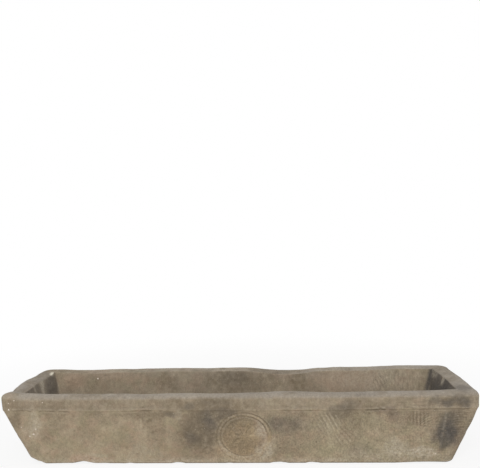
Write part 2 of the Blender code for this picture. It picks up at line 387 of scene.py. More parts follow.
# Faint upright ridges near the front's ends: foot and top, as x and height
UPRIGHT_RIDGES = (((-432, 55), (-424, 123)), ((423, 35), (429, 119)))
RIDGE_HALF_WIDTH = 0.0045
RIDGE_HEIGHT = 0.00025
RIDGE_PALENESS = 0.08

# Chips along the front's foot: place, half length and height
FOOT_CHIPS = (
    (-335, 24, 3.4), (-128.5, 20, 3.2), (-17, 15, 1.8), (87, 26, 3.8), (159, 22, 3.1), (250, 12, 1),
    (-230, 14, 1),
)
CHIP_SHARPNESS = 0.6
# Long stretches where the front's foot rises, in the same order
FOOT_LIFTS = ((-340, 180, 2.2), (400, 120, 3.2))
BACK_CHIP_HEIGHT = 0.008
CHIP_SLOPE = 0.4

# Nicks in the left end's rim: place along y, reach and depth, then where they start and their
# middle height and reach up and down
LEFT_NICKS = ((-76, 22, 2.6), (-34, 16, 0.5), (22, 14, 0.4), (100, 16, 0.8))
NICK_X = -0.465
NICK_HEIGHT = 0.156
NICK_RISE = 0.014
RIM_PIT_DEPTH = 0.001
# Pushes out of line, of the rim and lastly of the foot: place, reach and move
PUSHES = (
    ((-495, -112, 150), 34, (-2.8, -1, 3.4)),
    ((-495, -4, 152), 66, (-2.6, 0, 2.6)),
    ((498, -120, 126), 40, (-2.3, 1, 0)),
    ((495, -5, 152), 90, (2.8, 0, 1.4)),
    ((-459, 88, 156), 22, (0, 0, 2.6)),
    ((-455, -90, 26), 70, (1.6, 0, 0)),
)
# Chipped inner corner of the rim, at the back on the left
INNER_CHIP = (-0.4605, 0.076, 0.157)
INNER_CHIP_REACHES = (0.0056, 0.015, 0.0056)
INNER_CHIP_DEPTH = 0.001

# The broken lower left corner: how far it runs along each edge
BREAK_LENGTH = 0.044
BREAK_HEIGHT = 0.021
BREAK_DEPTH = 0.06
BREAK_ROUGHNESS = 0.0012


def crease_line(points):
    """Height of the crease at each point, and how deep it is cut there."""
    flat = points * (1, 1, 0)
    on_front = points[:, 1] < -0.8 * HALF_WIDTH
    front = MM * np.interp(points[:, 0] / MM, *np.array(CREASE_HEIGHTS).T)
    elsewhere = BAND_FOOT - CREASE_WIDTH / 2 + CREASE_WANDER * grain(flat, 0.09, 11)
    height = np.where(on_front, front, elsewhere) + 0.3 * CREASE_WANDER * grain(flat, 0.021, 12)
    front = np.interp(points[:, 0] / MM, *np.array(CREASE_STRETCHES).T)
    elsewhere = 0.65 + 0.4 * grain(flat, 0.07, 13)
    depth = np.where(on_front, front, elsewhere)
    return height, np.clip(depth, 0, 2) * (0.85 + 0.3 * grain(flat, 0.012, 14))


def crease_relief(points):
    height, depth = crease_line(points)
    rise = points[:, 2] - height
    cut = -CREASE_DEPTH * depth * bump(rise, CREASE_WIDTH)
    return cut + LIP_HEIGHT * depth * bump(rise - LIP_REACH, LIP_REACH)


def seal_place(points):
    """Distance from the seal's centre over the leaning front, and angle round it."""
    across = points[:, 0] - SEAL_X
    up = (points[:, 2] - SEAL_HEIGHT) / math.cos(LONG_LEAN)
    return np.hypot(across, up), np.arctan2(up, across)


def seal_bead(angle):
    """Middle and reach of the raised bead between the grooves at each angle."""
    inner_groove = INNER_GROOVE - INNER_GROOVE_FALL * smooth_step(-np.sin(angle))
    return (OUTER_GROOVE + inner_groove) / 2, (OUTER_GROOVE - inner_groove) / 2


def seal_kept(points, angle):
    """How much of the seal's rings is left at each point: most above on the right."""
    kept = 0.15 + 0.79 * bump(angle - SEAL_SHARP_ANGLE, SEAL_SHARP_REACH)
    kept += 0.26 * bump(angle - SEAL_LOW_ANGLE, SEAL_LOW_REACH)
    return np.clip(kept + 0.25 * grain(points, 0.03, 21), 0.1, 1.2)


def seal_grooves(points):
    """How deep the grooves beside the bead are cut, as shares of their full depth."""
    radius, angle = seal_place(points)
    middle, reach = seal_bead(angle)
    kept = seal_kept(points, angle)
    kept_inside = kept + SEAL_LOW_KEPT * bump(angle - SEAL_LOW_ANGLE, SEAL_LOW_REACH)
    grooves = kept * bump(radius - middle - reach, GROOVE_HALF_WIDTH)
    return grooves + kept_inside * bump(radius - middle + reach, GROOVE_HALF_WIDTH)


def seal_relief(points):
    radius, angle = seal_place(points)
    middle, reach = seal_bead(angle)
    low = smooth_step(-np.sin(angle))
    bead = BEAD_HEIGHT * seal_kept(points, angle) * (1 - 0.6 * low) * bump(radius - middle, reach)
    rings = bead - GROOVE_DEPTH * seal_grooves(points)
    field = SEAL_FIELD_DEPTH * below(radius, SEAL_INNER_RADIUS, 0.003)
    petal_edge = PETAL_REACH * np.abs(np.cos(PETALS * angle / 2)) ** 0.7
    petals = PETAL_RELIEF * below(radius, petal_edge, 0.004)
    return rings - field + petals * np.clip(0.7 + 0.6 * grain(points, 0.02, 25), 0, 1)


def spread(x, z, along, height, half_length, half_height):
    """Distance from the middle of an oval patch, which is 1 at its edge."""
    return np.hypot((x - along) / half_length, (z - height) / half_height)


def stroke_relief(points, strokes, first_seed):
    """Ridges and grooves that tools left in patches of a long side."""
    total = np.zeros(len(points))
    x, _, z = points.T / MM
    for seed, (*patch, degrees, spacing, relief) in enumerate(strokes, first_seed):
        lean = math.radians(degrees)
        across = (x * math.cos(lean) + z * math.sin(lean)) / spacing
        across += 0.25 * grain(points, 0.03, seed)
        kept = 0.7 + 0.45 * grain(points, 0.02, seed + 10)
        ridges = np.maximum(np.sin(2 * math.pi * across), 0) ** 1.5
        total += relief * kept * ridges * below(spread(x, z, *patch), 1.2, 0.5)
    return MM * total


def ridge_share(points):
    total = np.zeros(len(points))
    for (foot_x, foot_z), (top_x, top_z) in np.array(UPRIGHT_RIDGES) * MM:
        share = (points[:, 2] - foot_z) / (top_z - foot_z)
        x = foot_x + (top_x - foot_x) * share + 0.001 * grain(points, 0.015, 22)
        fade = smooth_step(share / 0.15 + 0.5) * smooth_step((1 - share) / 0.1 + 0.5)
        total += fade * bump(points[:, 0] - x, RIDGE_HALF_WIDTH)
    return total


def pit_relief(points):
    relief = 0
    for seed, (size, threshold, depth) in enumerate(PITS, 23):
        relief -= depth * lumps(points, size, threshold, seed)
    return relief


def foot_move(points):
    """Chips under both long edges: points below each chip's slope are brought up to it."""
    x, y, z = points.T
    flat = points * (1, 1, 0)
    front = swelling(x, FOOT_CHIPS, CHIP_SHARPNESS) * (1 + 0.15 * grain(flat, 0.007, 31))
    front += swelling(x, FOOT_LIFTS)
    back = BACK_CHIP_HEIGHT * lumps(flat, 0.03, 0.4, 33)
    height = np.where(y < 0, front, back) + 0.0004 * np.abs(grain(flat, 0.012, 32))
    foot_y = HALF_WIDTH - BAND_PROUD - LONG_RUN * BAND_FOOT
    slope = np.array((CHIP_SLOPE, 1)) / math.hypot(CHIP_SLOPE, 1)
    beyond = (height - z) * slope[1] - (foot_y - np.abs(y)) * slope[0]
    beyond = np.maximum(beyond, 0) * (z < 0.5 * BAND_FOOT)
    return np.column_stack([0 * x, -np.sign(y) * slope[0] * beyond, slope[1] * beyond])


def inner_chip(points):
    """1 in the middle of the pale chip on the left end's inner edge, 0 beyond it."""
    return bump(np.linalg.norm((points - INNER_CHIP) / INNER_CHIP_REACHES, axis=1), 1)


def rim_damage(points, normals):
    """Nicks and pits in the rim, its chipped inner edge and the pushes out of line."""
    x, y, z = points.T
    near_edge = below(x, NICK_X, 0.012) * bump(z - NICK_HEIGHT, NICK_RISE)
    near_edge *= below(normals[:, 0], 0.1, 0.5)
    depth = swelling(y, LEFT_NICKS) * near_edge * (1 + 0.3 * grain(points, 0.006, 34))
    depth += INNER_CHIP_DEPTH * inner_chip(points)
    depth += RIM_PIT_DEPTH * (z > SHOULDER_FOOT) * lumps(points, 0.013, 0.85, 35)
    moved = -depth[:, None] * normals
    for place, reach, move in PUSHES:
        share = bump(np.linalg.norm(points / MM - place, axis=1), reach)
        moved += MM * share[:, None] * move
    return moved


def break_corner(points):
    """Points beyond the plane of the break are brought back to it, roughly."""
    foot_x = -HALF_LENGTH + BAND_PROUD + END_RUN * BAND_FOOT
    foot_y = -HALF_WIDTH + BAND_PROUD + LONG_RUN * BAND_FOOT
    lean_x, lean_y = END_RUN * BREAK_HEIGHT, LONG_RUN * BREAK_HEIGHT
    up_edge = np.array((foot_x - lean_x, foot_y - lean_y, BREAK_HEIGHT))
    along_front = np.array((foot_x + BREAK_LENGTH, foot_y, 0.0))
    along_end = np.array((foot_x, foot_y + BREAK_DEPTH, 0.0))
    normal = np.cross(along_front - up_edge, along_end - up_edge)
    normal = normal * -np.sign(normal[2]) / np.linalg.norm(normal)
    rough = grain(points, 0.011, 41) + 0.5 * grain(points, 0.005, 42)
    beyond = (points - up_edge) @ normal - BREAK_ROUGHNESS * rough
    return points - np.maximum(beyond, 0)[:, None] * normal


def worked_over(grid, inside):
    """The smooth grid with every piece of hand work, wear and damage added."""
    normals = normals_of(grid).reshape(-1, 3)
    points = grid.reshape(-1, 3)
    front, rear_wall, _, _ = zones_of(points, normals, inside)
    standing = above(points[:, 2], 0.001, 0.006)
    relief = 0
    for seed, (size, height) in enumerate(UNEVENNESS, 50):
        relief += height * grain(points, size, seed)
    calm = np.maximum(inside, above(points[:, 2], CALM_ABOVE, 0.006))
    relief *= 1 - (1 - UNEVEN_INSIDE) * inside
    relief += pit_relief(points) * (1 - CALM_SHARE * calm)
    relief += (1 - inside) * crease_relief(points)
    handwork = seal_relief(points) + stroke_relief(points, TOOL_STROKES, 61)
    handwork += RIDGE_HEIGHT * ridge_share(points)
    relief += front * handwork
    relief += rear_wall * stroke_relief(points, REAR_STROKES, 81)
    moved = points + (relief * standing)[:, None] * normals
    moved += rim_damage(points, normals)
    moved += foot_move(moved)
    return break_corner(moved).reshape(grid.shape)


# Stains on the front and the cavity's rear wall: x, height, half length, half height, strength
FRONT_SOOT = (
    (441, 74, 15, 25, 80), (423, 56, 13, 30, 62), (434, 78, 28, 40, 50), (446, 108, 22, 12, 40),
    (430, 136, 12, 8, 45), (462, 134, 16, 9, 50), (408, 140, 18, 10, 42), (323, 106, 11, 16, 34),
    (306, 120, 20, 7, 26), (230, 134, 18, 14, 28), (210, 120, 26, 12, 30), (-137, 119, 10, 8, 36),
    (-99, 136, 9, 9, 34), (417, 62, 5, 28, 45), (427, 88, 5, 16, 35), (452, 142, 30, 10, 40),
    (-58, 108, 22, 14, 30), (-22, 116, 20, 10, 34), (-46, 138, 36, 14, 20), (-98, 58, 14, 22, 36),
    (-58, 92, 16, 20, 40), (-72, 76, 40, 44, 18), (82, 96, 18, 14, 24), (128, 96, 16, 20, 22),
    (102, 92, 46, 24, 32), (255, 30, 30, 20, 20),
)
FRONT_DAMP = (
    (-78, 74, 46, 50, 100), (-55, 108, 38, 18, 100), (-46, 138, 40, 16, 90),
    (-200, 111, 60, 10, 55), (-470, 108, 14, 24, 80), (452, 140, 40, 14, 60), (10, 88, 40, 28, 65),
    (104, 74, 52, 40, 45), (130, 40, 50, 20, 25), (-160, 113, 50, 12, 45), (-20, 124, 80, 14, 45),
    (-420, 85, 30, 32, 30), (378, 104, 26, 18, 45), (222, 120, 34, 18, 60), (466, 84, 26, 50, 84),
    (262, 70, 60, 30, 15), (264, 96, 30, 22, 36), (180, 110, 90, 12, 35), (-112, 128, 34, 14, 30),
    (-372, 107, 30, 20, 50), (-324, 70, 26, 32, 35), (-270, 106, 28, 18, 45),
    (-175, 98, 28, 26, 50), (-170, 66, 24, 26, 45), (-18, 107, 28, 24, 85), (-20, 66, 22, 36, 40),
    (-70, 20, 40, 14, 40), (-370, 138, 26, 12, 35), (-120, 138, 26, 12, 75), (8, 137, 46, 14, 50),
    (274, 136, 26, 12, 55), (350, 104, 50, 22, 30), (231, 92, 26, 22, 40), (378, 94, 26, 26, 30),
    (428, 98, 24, 18, 60),
)
FRONT_PALE = (
    (-315, 12, 50, 10, 28), (52, 76, 7, 20, 40), (190, 92, 22, 24, 12), (58, 30, 16, 20, 45),
    (374, 31, 18, 9, 55), (410, 28, 11, 7, 40), (-121, 120, 10, 14, 26), (-438, 78, 18, 16, 30),
    (-428, 108, 9, 30, 30), (330, 16, 100, 20, 32), (335, 36, 26, 22, 40), (381, 24, 26, 14, 30),
    (-200, 26, 45, 16, 20),
)
FRONT_ROSY = (
    (-325, 8, 46, 11, 90), (462, 62, 12, 26, 60), (322, 106, 12, 16, 60), (-60, 30, 40, 14, 40),
    (150, 6, 60, 8, 45), (52, 58, 9, 30, 60),
)
FRONT_OCHRE = ((6, 60, 46, 46, 72),)
FRONT_OLIVE = ((190, 92, 36, 26, 55), (240, 34, 140, 34, 55), (264, 95, 40, 22, 65))
REAR_DAMP = (
    (0, 130, 100, 34, 48), (-30, 130, 60, 30, 75), (136, 130, 26, 28, 85), (-178, 132, 24, 22, 60),
    (50, 125, 60, 30, 42), (165, 112, 40, 18, 50), (428, 118, 20, 24, 45), (-230, 125, 120, 30, 45),
    (-380, 125, 70, 30, 45),
)
REAR_SOOT = ((-60, 130, 130, 34, 18), (-20, 140, 30, 20, 18))
REAR_PALE = ((300, 140, 90, 30, 22), (310, 158, 100, 6, 18))
REAR_SCRAPED = ((336, 122, 22, 24, 100), (392, 130, 50, 30, 55), (60, 130, 60, 30, 30))
REAR_ROSY = (
    (-405, 135, 28, 20, 80), (-300, 145, 80, 12, 55), (100, 146, 25, 8, 60), (255, 130, 80, 26, 65),
)
# Stains on the cavity's end walls, by y and height; the dark ones are soot and painted shade
LEFT_SOOT_AND_SHADE = ((52, 134, 36, 28, 54), (-46, 142, 32, 22, 38), (-4, 108, 70, 20, 50))
LEFT_PALE = ((1, 150, 10, 24, 85), (-34, 148, 5, 12, 60))
RIGHT_SOOT_AND_SHADE = ((56, 138, 46, 30, 74), (-36, 140, 50, 30, 78), (4, 112, 70, 36, 79))
RIGHT_PALE = ((8, 152, 10, 12, 75), (70, 149, 20, 8, 45))
# Stains on the rim, by x and y
RIM_SOOT = ((470, -92, 16, 30, 45),)
RIM_PALE = ((472, 30, 22, 70, 20), (300, 108, 160, 14, 22))
# How far soot and painted shade creep over the rear wall from its two corners
LEFT_CREEP = 0.0005
RIGHT_CREEP = 0.0085
STAIN_GRAIN = 0.022
STAIN_WANDER = 0.006


def stained(points, along, patches, seed):
    """How strongly the patches on one side cover each point. Their edges wander."""
    along = along + STAIN_WANDER * grain(points, STAIN_GRAIN, seed)
    height = points[:, 2] + STAIN_WANDER * grain(points, STAIN_GRAIN, seed + 1)
    bare = np.ones(len(points))
    for *patch, percent in patches:
        bare *= 1 - percent / 100 * below(spread(along / MM, height / MM, *patch), 1.4, 0.9)
    return 1 - bare


def cloud(points, size, threshold, seed):
    """Irregular patches, for the sides that have none of their own."""
    value = grain(points, size, seed) + 0.45 * grain(points, size / 3, seed + 1)
    return above(value, threshold, 0.6)


def hollowness(grid):
    """How far each point lies below its neighbours; raised points are negative."""
    normals = normals_of(grid)
    beside = (np.roll(grid, 2, axis=1) + np.roll(grid, -2, axis=1)) / 2 - grid
    rows = np.arange(len(grid))
    under, over = grid[np.maximum(rows - 2, 0)], grid[np.minimum(rows + 2, len(grid) - 1)]
    hollow = beside + (under + over) / 2 - grid
    return np.sum(hollow * normals, axis=2).ravel()


def crept(points):
    """Soot and painted shade that creep over the rear wall from its corners with the end walls."""
    corner = HALF_LENGTH - END_WALL - CAVITY_RUN * (ARRIS_FOOT - points[:, 2])
    left = above(-points[:, 0], corner - LEFT_CREEP, 0.003)
    right = above(points[:, 0], corner - RIGHT_CREEP, 0.003)
    return 0.6 * left + 0.9 * right


def joined(first, second):
    """Two shares laid over each other."""
    return 1 - (1 - first) * (1 - second)


# Where the stains, painted shade and painted light change, each as an edge and a fade:
# heights, then places along x and along y
DEEP = (0.125, 0.07)
TOP = (0.145, 0.01)
BAND_START = (BAND_FOOT, 0.004)
BAND_END = (0.158, 0.01)
ROLL_START = (0.146, 0.006)
ROLL_END = (0.1595, 0.001)
UNDER_BAND = (BAND_FOOT, 0.003)
SHADOW_START = (0.106, 0.012)
FACE = (BAND_FOOT, 0.01)
CREST_START = (0.144, 0.008)
FOOT_PALE = (0.02, 0.018)
# Painted shadow along the foot
FOOT_SHADOW = (0.004, 0.003)
BARE_DOWN = (ARRIS_FOOT, 0.02)
RIGHT_PART = (-0.1, 0.08)
CREST_LEFT = (0.05, 0.15)
BARE_RIGHT = (0.15, 0.1)
COMBED_PART = (0.26, 0.1)
LEFT_END = (-0.452, 0.02)
REAR_RIM = (0.075, 0.015)
REAR_ROLL = (0.8 * HALF_WIDTH, 0.01)
CREST_FRONT = (-0.07, 0.02)
FRONT_CORNER = (-0.098, 0.012)
# Depth of full painted shade, height of full wear and painted highlight, and the smooth shape's
# share that both leave out
HOLLOW_DEPTH = 0.0016
RAISED_HEIGHT = 0.0022
KEPT_SHAPE = 0.75


class Surface:
    """The smooth vessel's points, and shares that say where each one lies."""

    def __init__(self, smooth, inside, nominal):
        self.points = smooth.reshape(-1, 3)
        self.inside, self.outside = inside, 1 - inside
        zones = zones_of(self.points, normals_of(smooth).reshape(-1, 3), inside)
        self.front, self.rear_wall, self.left_wall, self.right_wall = zones
        self.plain = 1 - np.maximum.reduce(zones)
        x, y, z = self.points.T
        # The back's rim is painted as if level, or its dips would take the band's stains and painted
        # shade
        self.height = np.where(y > 0, nominal, z)
        self.depth = below(z, *DEEP)
        self.on_top = above(self.height, *TOP)
        self.on_face = self.front * below(z, *FACE)
        self.rear_rim = above(y, *REAR_RIM)
        self.right_part = above(x, *RIGHT_PART)
        radius, self.angle = seal_place(self.points)
        middle, reach = seal_bead(self.angle)
        self.on_bead = self.front * below(np.abs(radius - middle), reach + 0.001, 0.003)
        self.on_field = self.front * below(radius, SEAL_INNER_RADIUS, 0.006)

    def stains(self, *layers):
        """All stains of one kind: each layer is a side, its patches and their seed."""
        total = 0
        for side, patches, seed in layers:
            along = self.points[:, 1 if side in ("left_wall", "right_wall") else 0]
            total = total + getattr(self, side) * stained(self.points, along, patches, seed)
        return total

    def rim_stains(self, patches, seed):
        """Patches on the rim's top, laid out along x and y."""
        return self.on_top * stained(self.points[:, [0, 2, 1]], self.points[:, 0], patches, seed)


def soot_and_shade_share(on):
    soot_and_shade = on.stains(
        ("front", FRONT_SOOT, 101),
        # The end walls' dark patches are soot and painted shade
        ("left_wall", LEFT_SOOT_AND_SHADE, 103),
        ("right_wall", RIGHT_SOOT_AND_SHADE, 105),
        ("rear_wall", REAR_SOOT, 143),
    )
    soot_and_shade += on.rear_wall * crept(on.points)
    soot_and_shade += on.plain * (0.36 - 0.22 * on.on_top) * cloud(on.points, 0.06, 0.4, 107)
    soot_and_shade += on.rim_stains(RIM_SOOT, 108)
    # Darker deeper in the cavity: soot, and painted shade
    return np.maximum(soot_and_shade, on.inside * on.depth * (0.45 + 0.3 * grain(on.points, 0.04, 109)))


def damp_and_shade_share(on):
    _, y, z = on.points.T
    damp_and_shade = on.stains(("front", FRONT_DAMP, 111), ("rear_wall", REAR_DAMP, 113))
    damp_and_shade += on.plain * 0.5 * cloud(on.points, 0.08, 0.2, 115)
    # Darker deeper in the cavity: damp, and painted shade
    damp_and_shade = np.maximum(damp_and_shade, on.inside * (0.27 + 0.73 * on.depth))
    # The band darker: damp, and painted shade that offsets the key light falling on it more fully
    band = on.outside * above(z, *BAND_START) * below(on.height, *BAND_END)
    damp_and_shade = joined(damp_and_shade, band * (0.56 + 0.18 * grain(on.points, 0.035, 117)))
    # A darker line on the back's outer roll: dirt, and painted shade at the back edge
    roll = on.outside * above(y, *REAR_ROLL) * above(on.height, *ROLL_START)
    damp_and_shade = np.maximum(damp_and_shade, 0.4 * roll * below(on.height, *ROLL_END))
    damp_and_shade = np.maximum(damp_and_shade, on.on_field * (0.5 + 0.2 * grain(on.points, 0.02, 119)))
    # Painted shadow under the band's overhang
    shadow = on.front * below(z, *UNDER_BAND) * above(z, *SHADOW_START)
    damp_and_shade = joined(damp_and_shade, shadow * (0.36 + 0.2 * grain(on.points, 0.03, 145)))
    mottled = on.on_face * on.right_part * lumps(on.points, 0.012, 0, 120)
    return np.maximum(damp_and_shade, 0.38 * mottled)


def pale_share(on):
    x, y, z = on.points.T
    pale = on.stains(
        ("front", FRONT_PALE, 121),
        ("left_wall", LEFT_PALE, 123),
        ("right_wall", RIGHT_PALE, 125),
        ("rear_wall", REAR_PALE, 137),
    )
    pale = np.maximum(pale, RIDGE_PALENESS * on.front * ridge_share(on.points))
    clouds = (0.45 - 0.25 * on.inside) * (1 - 0.5 * on.rear_rim * on.on_top)
    pale += on.plain * clouds * cloud(on.points, 0.045, 0.55, 127)
    pale += on.plain * on.rim_stains(RIM_PALE, 149)
    foot = on.outside * below(z, *FOOT_PALE)
    pale = np.maximum(pale, foot * (0.4 + 0.3 * grain(on.points, 0.03, 129)))
    # Painted light along the front's crest on the left
    crest = on.outside * above(z, *CREST_START) * below(x, *CREST_LEFT) * below(y, *CREST_FRONT)
    pale = np.maximum(pale, 0.13 * crest)
    return np.maximum(pale, 0.32 * on.on_bead * smooth_step(-np.sin(on.angle) / 0.5))


def sky_light_share(on):
    """Share of painted sky light on faces turned up, thinner on the back's rim and some walls."""
    x, y, _ = on.points.T
    wall = on.rear_wall * np.maximum(below(on.height, *BARE_DOWN), above(x, *BARE_RIGHT))
    left_corner = below(x, *LEFT_END) * below(y, *FRONT_CORNER)
    return (1 - (0.3 - 0.6 * x) * on.rear_rim) * (1 - 0.6 * np.maximum(wall, left_corner))


def foot_and_groove_shade(on):
    """Painted shadow along the foot, and darker colour in the seal's grooves."""
    foot = 0.9 * on.outside * below(on.points[:, 2], *FOOT_SHADOW)
    return np.maximum(foot, 0.75 * on.front * seal_grooves(on.points))


def painted_shares(smooth, grid, inside, nominal):
    """What the material reads at each point, as shares from 0 to 1."""
    on = Surface(smooth, inside, nominal)
    hollow = hollowness(grid) - KEPT_SHAPE * hollowness(smooth)
    rosy = on.stains(("front", FRONT_ROSY, 131), ("rear_wall", REAR_ROSY, 133))
    rosy += on.plain * 0.5 * cloud(on.points, 0.07, 0.45, 135)
    bead = (0.52 + 0.16 * np.cos(on.angle)) * on.on_bead
    combed = on.front * above(on.points[:, 0], *COMBED_PART)
    shares = {
        "soot_and_shade": soot_and_shade_share(on),
        "damp_and_shade": damp_and_shade_share(on),
        "pale": pale_share(on),
        "rosy": rosy,
        "ochre": np.maximum(on.stains(("front", FRONT_OCHRE, 141)), bead),
        "olive": on.stains(("front", FRONT_OLIVE, 147)),
        # Painted shade in hollows and along the foot; wear with painted highlight on raised points
        "painted_shade": np.maximum(hollow / HOLLOW_DEPTH, foot_and_groove_shade(on)),
        "wear_and_highlight": -hollow / RAISED_HEIGHT,
        # Painted sky light: how much of the cool grey that faces turned up take
        "painted_sky_light": sky_light_share(on),
        "rough": on.on_face * (0.45 + 0.5 * on.right_part),
        "scraped": 0.2 * inside + on.stains(("rear_wall", REAR_SCRAPED, 139)),
        "combed": np.maximum(combed, 0.8 * on.on_field),
        "lime": 1.8 * inner_chip(on.points),
    }
    return {name: np.clip(share, 0, 1) for name, share in shares.items()}


def new_object(name, data):
    made = bpy.data.objects.new(name, data)
    bpy.context.scene.collection.objects.link(made)
    return made


def link_mesh(name, points, faces):
    mesh = bpy.data.meshes.new(name)
    mesh.from_pydata(points.tolist(), [], faces)
    mesh.shade_smooth()
    return new_object(name, mesh)


def loft_quads(index):
    """Quads between the rows of a grid of point numbers, closed on itself sideways."""
    beside = np.roll(index, -1, axis=1)
    quads = np.stack([index[:-1], beside[:-1], beside[1:], index[1:]], axis=2)
    return quads.reshape(-1, 4).tolist()


def loft_faces(count, rows, columns):
    """Faces of a number of lofts, each closed by one flat face at each end."""
    faces = []
    for index in np.arange(count * rows * columns).reshape(count, rows, columns):
        faces += [*loft_quads(index), index[0, ::-1].tolist(), index[-1].tolist()]
    return faces


def cap_faces(ring, first):
    """Triangles that close a ring of points, numbered from the first."""
    edges = [(i, (i + 1) % len(ring)) for i in range(len(ring))]
    outline = [Vector(point[:2]) for point in ring]
    faces = delaunay_2d_cdt(outline, edges, [], 1, 1e-7)[2]
    return [[first + i for i in face] for face in faces]


DRAIN_SIDES = 32
# The drain holes' rings: height, and width as a share of the hole's
DRAIN_PROFILE = (
    (-0.01, 1.1), (0.0, 1.1), (0.002, 1.0), (0.028, 1.0), (0.0315, 1.14), (0.04, 1.14),
)


def drain_cutter():
    """The drain holes as solids, each a little out of round."""
    points = []
    angles = np.linspace(0, 2 * math.pi, DRAIN_SIDES, endpoint=False)
    circle = np.column_stack([np.cos(angles), np.sin(angles), 0 * angles])
    for place in DRAIN_PLACES:
        radius = DRAIN_RADIUS * (1 + 0.05 * grain(circle + (place, 0, 0), 0.7, 43))
        for height, flare in DRAIN_PROFILE:
            points.append(circle * (flare * radius)[:, None] + (place, 0, height))
    faces = loft_faces(len(DRAIN_PLACES), len(DRAIN_PROFILE), DRAIN_SIDES)
    return link_mesh("drain_cutter", np.concatenate(points), faces)


def cut_drains(vessel):
    cutter = drain_cutter()
    cut = vessel.modifiers.new("drains", "BOOLEAN")
    cut.object = cutter
    cut.solver = "EXACT"
    depsgraph = bpy.context.evaluated_depsgraph_get()
    vessel.data = bpy.data.meshes.new_from_object(vessel.evaluated_get(depsgraph))
    vessel.modifiers.clear()
    bpy.data.objects.remove(cutter)


def build_vessel():
    levels, first_inside = loft_levels()
    smooth = loft_points(levels)
    rows, columns = smooth.shape[:2]
    first_inside -= ARRIS_LEVELS_INSIDE
    inside = np.repeat(np.arange(rows) >= first_inside, columns).astype(float)
    grid = worked_over(smooth, inside)
    underside = [face[::-1] for face in cap_faces(grid[0], 0)]
    floor = cap_faces(grid[-1], (rows - 1) * columns)
    index = np.arange(rows * columns).reshape(rows, columns)
    faces = [*loft_quads(index), *underside, *floor]
    vessel = link_mesh("weathered_trough", grid.reshape(-1, 3), faces)
    nominal = np.repeat(levels[:, 0], columns)
    for name, share in painted_shares(smooth, grid, inside, nominal).items():
        layer = vessel.data.attributes.new(name, "FLOAT", "POINT")
        layer.data.foreach_set("value", share.astype(np.float32))
    cut_drains(vessel)
    return vessel, grid.reshape(-1, 3), normals_of(grid).reshape(-1, 3), inside


# Specks of lime on the front, as x, height and radius, and on the cavity's rear wall
FRONT_SPECKS = (
    (-457.7, 88.5, 1.1), (-428.8, 82.5, 1.2), (-435.7, 71.9, 2.2), (-443.3, 67.2, 1.2),
    (413.1, 22.5, 1.3), (-479.6, 143.1, 1.1), (-479.5, 128.3, 2.3), (-468.7, 147.2, 1.2),
    (-406.9, 142.5, 1),
)
REAR_SPECKS = ((-353.2, 140.2, 1.9),)
# Specks at random on the ends and back
WILD_SPECKS = 14
SPECK_SIDES = 10
SPECK_RINGS = 5


def speck_points(place, normal, radius, seed):
    """A flattened lump set into the surface."""
    around = np.linspace(0, 2 * math.pi, SPECK_SIDES, endpoint=False)
    frame_z = Vector(normal).to_track_quat("Z", "X").to_matrix()
    rings = []
    for tilt in np.linspace(0.12, 0.88, SPECK_RINGS) * math.pi:
        ring = [math.sin(tilt) * np.cos(around), math.sin(tilt) * np.sin(around)]
        rings.append(np.column_stack([*ring, np.full(SPECK_SIDES, -0.6 * math.cos(tilt))]))
    lump = np.concatenate(rings)
    lump = lump * (1 + 0.25 * grain(lump, 0.8, seed))[:, None] * radius
    return lump @ np.array(frame_z).T + place


def build_specks(points, normals, inside):
    rng = np.random.default_rng(7)
    front, rear_wall, _, _ = zones_of(points, normals, inside)
    spots = []
    for specks, zone in ((FRONT_SPECKS, front), (REAR_SPECKS, rear_wall)):
        for x, height, radius in np.array(specks) * MM:
            distance = np.hypot(points[:, 0] - x, points[:, 2] - height) + (zone < 0.5)
            spots.append((np.argmin(distance), radius))
    upright = (normals[:, 1] > -0.3) & (normals[:, 2] < 0.2)
    bare = np.flatnonzero(upright & (inside < 0.5) & (points[:, 2] > 0.02))
    for spot in rng.choice(bare, WILD_SPECKS, replace=False):
        spots.append((spot, rng.uniform(0.0008, 0.0016)))
    shapes = [
        speck_points(points[spot], normals[spot], radius, seed)
        for seed, (spot, radius) in enumerate(spots, 200)
    ]
    faces = loft_faces(len(shapes), SPECK_RINGS, SPECK_SIDES)
    return link_mesh("lime_specks", np.concatenate(shapes), faces)


def colour(*rgb):
    """Scene-linear colour of an sRGB one in steps from 0 to 255."""
    shares = np.array(rgb) / 255
    linear = np.where(shares <= 0.04045, shares / 12.92, ((shares + 0.055) / 1.055) ** 2.4)
    return (*linear.tolist(), 1.0)


BUFF = colour(164, 149, 125)
DRAB = colour(145, 131, 109)
ROSY = colour(165, 138, 116)
OLIVE = colour(141, 134, 104)
OLIVE_TINT = colour(152, 144, 117)
OCHRE = colour(163, 139, 103)
# Cool grey of the painted sky light on faces turned up
SKY_LIGHT_GREY = colour(153, 145, 135)
LIME = colour(226, 218, 198)
# Dark brown of damp, and of painted shade in the cavity and under the band
DAMP_AND_SHADE = colour(118, 105, 86)
# Dark of soot, and of painted shade on the cavity's end walls
SOOT_AND_SHADE = colour(76, 72, 69)
PALE = colour(188, 178, 160)
# Brown of the painted shade in hollows, in the seal's grooves and along the foot
SHADE_TONE = colour(96, 84, 66)
# Light of raised points: wear, and painted highlight
WORN_AND_LIT = colour(176, 164, 145)
PORE = colour(90, 79, 64)


